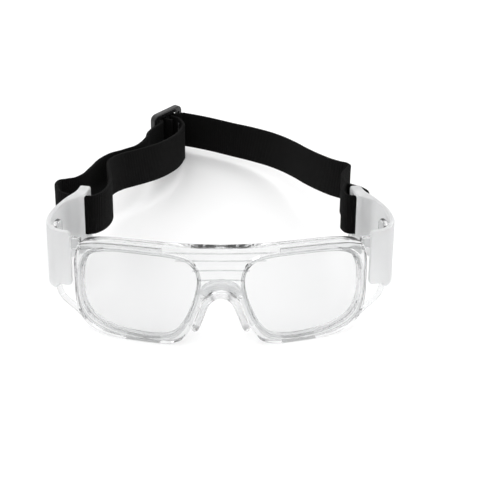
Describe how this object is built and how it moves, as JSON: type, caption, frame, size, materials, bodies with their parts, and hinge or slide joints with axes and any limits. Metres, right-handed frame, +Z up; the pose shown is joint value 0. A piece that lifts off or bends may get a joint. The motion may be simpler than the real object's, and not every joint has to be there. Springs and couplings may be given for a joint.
{
  "type": "sports protective goggles",
  "caption": "Clear wrap-round sports goggles with snap-in lenses, soft nose saddle, frosted side arms and a black elastic head strap with slide buckle.",
  "frame": {"origin": "middle of the base of the whole object, on the surface that it stands on", "axes": "+X to the wearer's left, +Y from the front towards the back of the head, +Z up"},
  "size_m": [0.15, 0.1948, 0.0518],
  "materials": {
    "clear_plastic": "clear moulded polycarbonate, glossy",
    "lens": "clear polycarbonate lens",
    "silicone": "translucent soft silicone, satin",
    "frosted_plastic": "frosted translucent plastic",
    "webbing": "black ribbed elastic webbing",
    "buckle_plastic": "black moulded plastic, semi-gloss",
    "thread": "black polyester thread"
  },
  "bodies": {
    "frame": {"front_frame": "clear_plastic", "lens_left": "lens", "lens_right": "lens", "nose_pad": "silicone", "arm_left": "frosted_plastic", "arm_right": "frosted_plastic", "strap_loop_left": "webbing", "strap_fold_right": "webbing", "bar_tack_left": "thread"},
    "strap_sides": {"strap_run_left": "webbing", "strap_run_outer": "webbing", "strap_run_inner": "webbing"},
    "strap_back": {"strap_back_band": "webbing"},
    "buckle": {"strap_buckle": "buckle_plastic", "strap_weave": "webbing", "strap_end_fold": "webbing", "bar_tack_buckle": "thread"}
  },
  "joints": [
    {"name": "strap_swing", "type": "hinge", "parent": "frame", "child": "strap_sides", "pos_m": [0, -0.0475, 0.0395], "axis": [1, 0, 0], "range_deg": [-8, 16], "deforming": ["strap_run_left", "strap_run_outer", "strap_run_inner"]},
    {"name": "strap_stretch", "type": "slide", "parent": "strap_sides", "child": "strap_back", "axis": [0, 1, 0], "range_m": [0, 0.03], "stiffness_N_per_m": 20, "deforming": ["strap_run_left", "strap_run_outer", "strap_run_inner"]},
    {"name": "buckle_slide", "type": "slide", "parent": "strap_back", "child": "buckle", "axis": [-0.65, -0.76, 0], "range_m": [0, 0.008], "deforming": ["strap_weave", "strap_end_fold", "strap_run_outer", "strap_run_inner"]}
  ]
}
